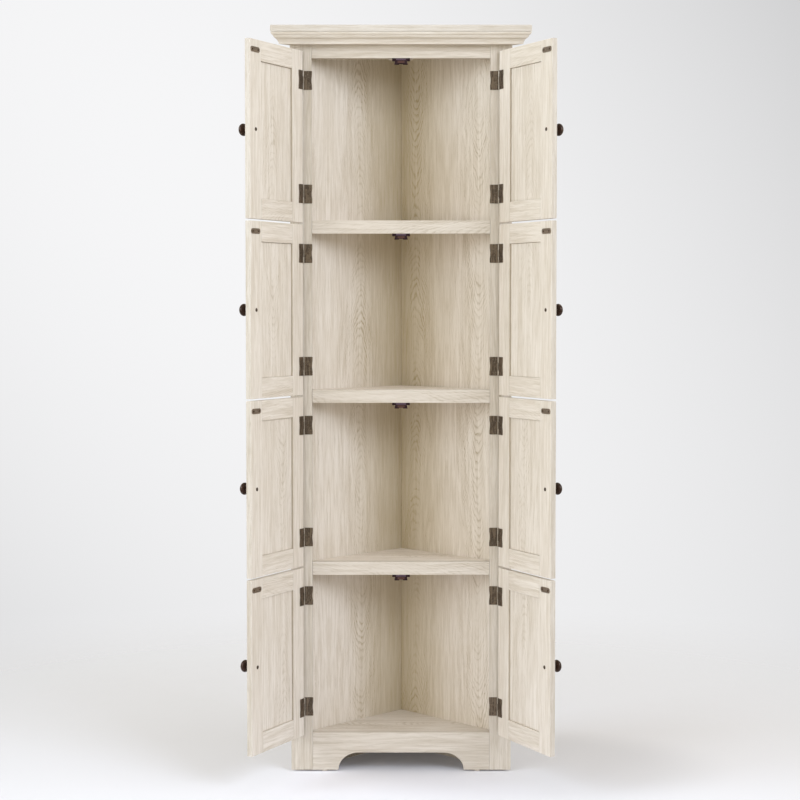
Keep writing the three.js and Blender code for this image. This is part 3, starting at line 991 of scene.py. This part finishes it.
hingeLook = {"leaf": 1 * mm, "flare": 1.4 * mm, "hollowShare": 0.7, "edgeSteps": 8, "cornerRound": 1.4 * mm,
             "cornerShare": 0.3, "ease": 0.25 * mm, "middleKnuckle": 17 * mm, "knuckleGap": 0.3 * mm,
             "knuckleSides": 28, "chamfer": 0.25 * mm, "grooveStart": 1 * mm, "grooveHalf": 0.25 * mm,
             "grooveDepth": 0.2 * mm, "coreRadius": 1.2 * mm, "coreSides": 16, "tipRadius": 1.9 * mm,
             "tipHeight": 1 * mm, "tipSides": 20, "tipTurn": 70, "tipSteps": 4, "screw": 3.1 * mm,
             "screwShare": 0.56, "screwProud": 0.07 * mm, "screwTurn": 3, "doorFaceGap": 0.2 * mm,
             "tongue": 1 * mm, "doorRootShare": 0.75, "sharpAngle": 35}
hingeFinishes = [metal["hinge"], metal["screw"], metal["knuckle"]]
screwPart, knuckleWearAndSheenPart = 1, 2


# The free edge of a leaf stands out at its corners and is hollow between them
def leafOutline(start, end, half):
    look = hingeLook
    sign = 1 if end > start else -1
    steps, flare, corner = look["edgeSteps"], look["flare"], look["cornerRound"]
    hollowHalf, cut = look["hollowShare"] * half, look["cornerShare"] * corner
    edge = [(end - sign * flare * (0.5 + 0.5 * math.cos(math.pi * i / steps)), hollowHalf * i / steps)
            for i in range(-steps, steps + 1)]
    corners = [(end - sign * corner, half), (end - sign * cut, half - cut), (end, half - corner)]
    return [(start, -half), *[(x, -z) for x, z in corners], *edge, *corners[::-1], (start, half)]


# A knuckle has a chamfer and a fine turned groove near each end
def knuckle(bottom, top, radius):
    look = hingeLook
    chamfer, start, width = look["chamfer"], look["grooveStart"], look["grooveHalf"]
    ends = [(0, 0), (radius - chamfer, 0), (radius, chamfer), (radius, start),
            (radius - look["grooveDepth"], start + width), (radius, start + 2 * width)]
    return turned([(r, bottom + z) for r, z in ends] + [(r, top - z) for r, z in ends[::-1]],
                  look["knuckleSides"])


# The pin's core and its two domed ends
def pourPin(pile, half, seed):
    look = hingeLook
    core, tip, rise = look["coreRadius"], look["tipRadius"], look["tipHeight"]
    pour(pile, turned([(0, -half), (core, -half), (core, half), (0, half)], look["coreSides"]), seed=seed)
    profile = [(tip, -rise / 2), *arc((0, 0), (tip, rise), 0, look["tipTurn"], look["tipSteps"]), (0, rise)]
    for sign in (-1, 1):
        toSpace = pointing((0, 0, sign * half), (0, 0, sign))
        pour(pile, turned(profile, look["tipSides"], toSpace), seed=seed, finish=knuckleWearAndSheenPart)


# A leaf lies between two depths, from start to reach beside the pin. Its screw head points along screwSide.
def makeLeaf(part, start, reach, depths, screwSide, place):
    look = hingeLook
    pile = newPile()
    seed = boardDraw.random()
    bm = prism(leafOutline(start, reach, part["half"]), *depths, facing)
    pour(pile, bm, eased=ease(bm, look["ease"], segments=1), seed=seed)
    # each knuckle is joined to its leaf, on the frame by a web and on the door by a tongue
    rootStart = math.copysign(part["radius"] * part["rootShare"], reach)
    rootEnd = start + math.copysign(look["tongue"], reach)
    root = [(rootStart, part["rootDepth"]), (rootEnd, part["rootDepth"]), (rootEnd, depths[1]),
            (rootStart, depths[1])]
    for bottom, top in part["knuckles"]:
        pour(pile, knuckle(bottom, top, part["radius"]), seed=seed, finish=knuckleWearAndSheenPart)
        pour(pile, prism(root, bottom, top), seed=seed)
    # countersunk, so the leaves still close on each other
    sunk = screwLook["height"] - look["screwProud"]
    spot = (start + (reach - start) * look["screwShare"], depths[screwSide > 0] - screwSide * sunk, 0)
    head = screwHead(pointing(spot, (0, screwSide, 0)), look["screw"], seed * look["screwTurn"])
    pour(pile, head, seed=seed, finish=screwPart)
    if part["pin"]:
        pourPin(pile, part["half"], seed)
    makePiece(part["name"], pile, hingeFinishes, part["body"], [part["node"]], place,
              look["sharpAngle"])


def makeHinge(side, node, doorName, doorPlace):
    look = hingeLook
    frameNode, doorNode = node + "_frame_leaf", node + "_door_leaf"
    low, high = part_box(frameNode)
    middle, half = (low.z + high.z) / 2, (high.z - low.z) / 2
    pivot = doorPlace.translation
    place = Matrix.Translation((pivot.x, pivot.y, middle))
    frameLow, frameHigh = localBox(frameNode, place)
    both = {"half": half, "radius": -frameLow.y}
    mid = look["middleKnuckle"] / 2
    outer = mid + look["knuckleGap"]
    # frame leaf with the outer knuckles and the pin
    part = {**both, "name": node + "FrameLeaf", "node": frameNode, "body": "case", "pin": True,
            "knuckles": [(-half, -outer), (outer, half)], "rootShare": 0, "rootDepth": 0}
    reach = frameLow.x if side > 0 else frameHigh.x
    makeLeaf(part, 0, reach, (frameHigh.y - look["leaf"], frameHigh.y), -1, place)
    # door leaf with the middle knuckle
    place = Matrix.Translation((0, 0, middle - pivot.z)) @ doorPlace
    doorLow, doorHigh = localBox(doorNode, place)
    leafLow, leafHigh = localBox(doorName, doorPlace)
    face = leafHigh.y + look["doorFaceGap"]
    part = {**both, "name": node + "DoorLeaf", "node": doorNode, "body": doorName, "pin": False,
            "knuckles": [(-mid, mid)], "rootShare": look["doorRootShare"], "rootDepth": face}
    start, reach = (leafHigh.x, doorLow.x) if side > 0 else (leafLow.x, doorHigh.x)
    makeLeaf(part, start, reach, (face, face + look["leaf"]), 1, place)


# Both curves are in heights of the base: how far out from the radius, and how far up
knobLook = {"sides": 56, "base": 8.5 * mm, "baseHeight": 2.2 * mm, "neck": 5.4 * mm, "neckHeight": 11 * mm,
            "baseCurve": ((-0.2, 0), (0, 0.2), (0, 0.7), (-0.3, 1)),
            "neckCurve": ((0.4, 1.3), (0, 2), (-0.1, 3)), "head": 14.6 * mm, "widest": 20.5 * mm,
            "shoulder": 8 * mm, "shoulderTurn": -64, "shoulderSteps": 9, "crown": 9.5 * mm,
            "crownTurn": 84, "crownSteps": 12, "sharpAngle": 50, "screw": 4.6 * mm, "screwTurn": 3}


def makeKnob(node, place, body):
    low, high = localBox(node, place)
    x, z = (low.x + high.x) / 2, (low.z + high.z) / 2
    look = knobLook
    unit, widest, head = look["baseHeight"], look["widest"], look["head"]
    profile = [(0, 0), *[(look["base"] + out * unit, up * unit) for out, up in look["baseCurve"]],
               *[(look["neck"] + out * unit, up * unit) for out, up in look["neckCurve"]],
               (look["neck"], look["neckHeight"]),
               *arc((0, widest), (head, look["shoulder"]), look["shoulderTurn"], 0, look["shoulderSteps"]),
               *arc((0, widest), (head, look["crown"]), 0, look["crownTurn"], look["crownSteps"])[1:],
               (0, widest + look["crown"])]
    pile = newPile()
    seed = boardDraw.random()
    pour(pile, turned(profile, look["sides"], pointing((x, high.y, z), (0, -1, 0))), seed=seed)
    makePiece(node + "Turned", pile, [metal["knob"]], body, [node], place, look["sharpAngle"])
    # the screw that holds the knob shows on the inner face
    doorFace = localBox(body, place)[1].y
    pile = newPile()
    toSpace = pointing((x, doorFace, z), (0, 1, 0))
    pour(pile, screwHead(toSpace, look["screw"], seed * look["screwTurn"]), seed=seed)
    makePiece(node + "Screw", pile, [metal["screw"]], body, place=place)


strikeLook = {"length": 39 * mm, "width": 12.8 * mm, "thickness": 1.2 * mm, "fromEdge": 2.4 * mm,
              "fromTop": 24 * mm, "endSteps": 14, "ease": 0.3 * mm, "screw": 2.4 * mm,
              "screwFromEnd": 7.5 * mm, "screwTurn": 5}


def makeStrike(side, name, place):
    low, high = localBox(name, place)
    look = strikeLook
    half, radius, steps = look["length"] / 2, look["width"] / 2, look["endSteps"]
    freeEdge = low.x if side > 0 else high.x
    x, z = freeEdge + side * (look["fromEdge"] + half), high.z - look["fromTop"]
    outline = [*arc((x + half - radius, z), (radius, radius), -90, 90, steps),
               *arc((x + radius - half, z), (radius, radius), 90, 270, steps)]
    pile = newPile()
    seed = boardDraw.random()
    bm = prism(outline, high.y, high.y + look["thickness"], facing)
    pour(pile, bm, (1, 0, 0), (0, 0, 1), eased=ease(bm, look["ease"]), seed=seed)
    for sign in (-1, 1):
        spot = (x + sign * (half - look["screwFromEnd"]), high.y + look["thickness"], z)
        toSpace = pointing(spot, (0, 1, 0))
        head = screwHead(toSpace, look["screw"], seed * look["screwTurn"] + sign)
        pour(pile, head, seed=seed, finish=screwPart)
    makePiece(name + "Strike", pile, [metal["strike"], metal["screw"]], name, place=place)


doorRows = 4
joints = {joint["name"]: joint for joint in frame["joints"]}
for side, sideName in ((-1, "left"), (1, "right")):
    for row in range(1, doorRows + 1):
        name = f"{sideName}_door_{row}"
        joint = joints[name + "_hinge"]
        turn = math.radians(-joint["range_deg"][0] * joint["axis"][2])
        place = Matrix.Translation(joint["pos_m"]) @ Matrix.Rotation(turn, 4, "Z")
        makeDoor(name, place)
        makeKnob(f"{sideName}_knob_{row}", place, name)
        makeStrike(side, name, place)
        for level in ("upper", "lower"):
            makeHinge(side, f"{sideName}_hinge_{row}_{level}", name, place)
print("doors and fittings ready")

# Catches, one under the top rail and one under each shelf lip
catchLook = {"flangeHalf": 21.9 * mm, "flange": 5.9 * mm, "bodyHalf": 16.3 * mm, "height": 14.2 * mm,
             "notchHalf": 5.5 * mm, "notch": 2 * mm, "notchTaper": 0.7, "depth": 17 * mm,
             "setback": 1.2 * mm, "faceProud": 0.5 * mm, "ease": 0.6 * mm, "plateHalf": 8.5 * mm,
             "stripHalf": 12 * mm, "screw": 2.5 * mm, "screwTurn": 4}
catchFinishes = [plastic["housing"], plastic["face"], metal["screw"], plastic["label"]]
platePart, headPart, stripPart = 1, 2, 3


def makeCatch(name, underside, front):
    look = catchLook
    pile = newPile()
    seed = boardDraw.random()
    edge = look["ease"]
    back = front + look["depth"]
    bottom = underside - look["height"]
    flangeBottom = underside - look["flange"]
    bm = box((-look["flangeHalf"], front + edge, flangeBottom), (look["flangeHalf"], back, underside))
    pour(pile, bm, eased=ease(bm, edge), seed=seed)
    # the body holds two magnets, with a notch between them at the bottom
    half, notch = look["bodyHalf"], look["notchHalf"]
    upperHalf, innerHalf = half - look["notch"], notch * look["notchTaper"]
    notchTop = bottom + look["notch"]
    outline = [(-half, bottom), (-notch, bottom), (-innerHalf, notchTop), (innerHalf, notchTop),
               (notch, bottom), (half, bottom), (upperHalf, flangeBottom), (-upperHalf, flangeBottom)]
    bm = prism(outline, front, back, facing)
    pour(pile, bm, eased=ease(bm, edge), seed=seed)
    # a plate over the magnets and a thin strip along the flange
    plates = ((platePart, look["plateHalf"], notchTop + edge, flangeBottom - edge),
              (stripPart, look["stripHalf"], flangeBottom + edge * 2, underside - edge))
    for finish, reach, low, high in plates:
        bm = box((-reach, front - look["faceProud"], low), (reach, front + edge * 2, high))
        pour(pile, bm, eased=ease(bm, edge / 2, segments=1), seed=seed, finish=finish)
    for side in (-1, 1):
        spot = (side * (look["flangeHalf"] + half) / 2, (front + back) / 2, flangeBottom)
        toSpace = pointing(spot, (0, 0, -1))
        head = screwHead(toSpace, look["screw"], seed * look["screwTurn"] + side)
        pour(pile, head, seed=seed, finish=headPart)
    makePiece(name, pile, catchFinishes, "case")


makeCatch("topCatch", railLow.z, frontY + catchLook["setback"])
for node in shelfNodes:
    makeCatch(node.split("_")[0] + "ShelfCatch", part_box(node)[0].z, frontY + shelfLook["setback"])
print("catches ready")

# Floor, lights and camera
# shadeCentre, shadeSize, shadeShare, shadeFrom and shadeTo place the floor's painted shadow round the foot
stageLook = {"floor": linear(230, 229, 237), "roughness": 0.7, "specular": 0.15, "glow": 0.04,
             "bounceShare": 0.98, "radius": 9, "sides": 96, "fadeFrom": 0.45, "fadeTo": 2.4,
             "shadeCentre": (0.32, 0.02, 0), "shadeSize": (2.5, 3.2, 1), "shadeShare": 0.88,
             "shadeFrom": 0.7, "shadeTo": 1.35}
backdropLook = {"tint": (1, 1, 1.01), "level": 0.905, "slope": -0.065, "twist": -0.072,
                "bowlAcross": -0.094, "bowlUp": -0.041, "halfAcross": 0.23, "halfUp": 0.17,
                "ambient": (0.576, 0.528, 0.402)}


def makeStage():
    look = stageLook
    bm = bmesh.new()
    bmesh.ops.create_circle(bm, cap_ends=True, segments=look["sides"], radius=look["radius"])
    bm.normal_update()
    bmesh.ops.reverse_faces(bm, faces=[face for face in bm.faces if face.normal.z < 0])
    mesh = bpy.data.meshes.new("studioFloor")
    bm.to_mesh(mesh)
    bm.free()
    floor = bpy.data.objects.new("studioFloor", mesh)
    bpy.context.scene.collection.objects.link(floor)
    material, tree, shader = newMaterial("floorPaint")
    spot = tree.nodes.new("ShaderNodeTexCoord").outputs["Object"]
    # a painted shadow darkens it softly round the foot, and it bounces slightly less light than it shows
    near = stretch(tree, shiftBy(tree, spot, look["shadeCentre"]), look["shadeSize"])
    shade = remap(tree, lengthOf(tree, near), look["shadeFrom"], look["shadeTo"], look["shadeShare"], 1,
                  smooth=True)
    seen = tree.nodes.new("ShaderNodeLightPath").outputs["Is Camera Ray"]
    shade = calc(tree, "MULTIPLY", shade, remap(tree, seen, 0, 1, look["bounceShare"], 1))
    feed(tree, shader["Base Color"], stretch(tree, combine(tree, shade, shade, shade), look["floor"]))
    shader["Roughness"].default_value = look["roughness"]
    shader["Specular IOR Level"].default_value = look["specular"]
    shader["Emission Color"].default_value = (1, 1, 1, 1)
    feed(tree, shader["Emission Strength"], calc(tree, "MULTIPLY", seen, look["glow"]))
    # the floor dissolves into the backdrop away from the object, and isn't seen from below
    fade = remap(tree, lengthOf(tree, spot), look["fadeFrom"], look["fadeTo"], 1, 0, smooth=True)
    under = tree.nodes.new("ShaderNodeNewGeometry").outputs["Backfacing"]
    feed(tree, shader["Alpha"], calc(tree, "MULTIPLY", fade, calc(tree, "SUBTRACT", 1, under)))
    mesh.materials.append(material)


def makeWorld():
    look = backdropLook
    world = bpy.data.worlds.new("studio")
    bpy.context.scene.world = world
    world.use_nodes = True
    tree = world.node_tree
    background = tree.nodes["Background"]
    seen = tree.nodes.new("ShaderNodeLightPath").outputs["Is Camera Ray"]
    # painted light: the backdrop is painted as a studio wall lit from the upper left, with painted shade
    # towards its corners
    ways = split(tree, tree.nodes.new("ShaderNodeTexCoord").outputs["Generated"])
    across = remap(tree, ways[0], -look["halfAcross"], look["halfAcross"], -1, 1)
    up = remap(tree, ways[2], -look["halfUp"], look["halfUp"], -1, 1)
    level = calc(tree, "MULTIPLY_ADD", up, look["twist"], look["slope"])
    level = calc(tree, "MULTIPLY_ADD", across, level, look["level"])
    for way, share in ((across, look["bowlAcross"]), (up, look["bowlUp"])):
        level = calc(tree, "MULTIPLY_ADD", calc(tree, "MULTIPLY", way, way), share, level)
    backdrop = stretch(tree, combine(tree, level, level, level), look["tint"])
    feed(tree, background.inputs["Color"], mixColour(tree, seen, look["ambient"], backdrop))


lightLooks = {
    "frontLeft": {"place": (-2.6, -3.4, 3.0), "size": 2.2, "power": 32, "tint": (0.89, 1, 1.1)},
    "frontRight": {"place": (2.6, -3.4, 3.0), "size": 2.2, "power": 104, "tint": (0.91, 1, 1.14)},
    "overhead": {"place": (0, -0.8, 4.2), "size": 2.0, "power": 14, "tint": (0.98, 1, 1.02)},
    "sideLeft": {"place": (-3.6, -1.4, 2.6), "size": 2.0, "power": 74, "tint": (0.85, 1, 1.16)},
    "sideRight": {"place": (3.6, -1.4, 2.6), "size": 2.0, "power": 32, "tint": (0.91, 1, 1.1)},
    "lowLeft": {"place": (-2.6, -3.4, 0.9), "size": 1.6, "power": 34, "tint": (1.03, 1, 0.9)},
}
lightAim = (0, 0, 0.9)


def makeLights():
    for name, look in lightLooks.items():
        data = bpy.data.lights.new(name, "AREA")
        data.shape = "SQUARE"
        data.size = look["size"]
        data.energy = look["power"]
        data.color = look["tint"]
        lamp = bpy.data.objects.new(name, data)
        bpy.context.scene.collection.objects.link(lamp)
        lamp.location = look["place"]
        direction = Vector(lightAim) - Vector(look["place"])
        lamp.rotation_euler = direction.to_track_quat("-Z", "Y").to_euler()


cameraLook = {"place": (0, -4.2423, 1.1466), "down": 2.266, "lens": 77.312, "sensor": 36,
              "shiftX": -0.0013, "shiftY": -0.03}


def makeCamera():
    data = bpy.data.cameras.new("photoCamera")
    data.lens = cameraLook["lens"]
    data.sensor_width = cameraLook["sensor"]
    data.shift_x = cameraLook["shiftX"]
    data.shift_y = cameraLook["shiftY"]
    camera = bpy.data.objects.new("photoCamera", data)
    bpy.context.scene.collection.objects.link(camera)
    camera.location = cameraLook["place"]
    camera.rotation_euler = (math.radians(90 - cameraLook["down"]), 0, 0)
    bpy.context.scene.camera = camera


makeStage()
makeWorld()
makeLights()
makeCamera()
bpy.context.scene.view_settings.view_transform = "Standard"
print("floor, lights and camera ready")
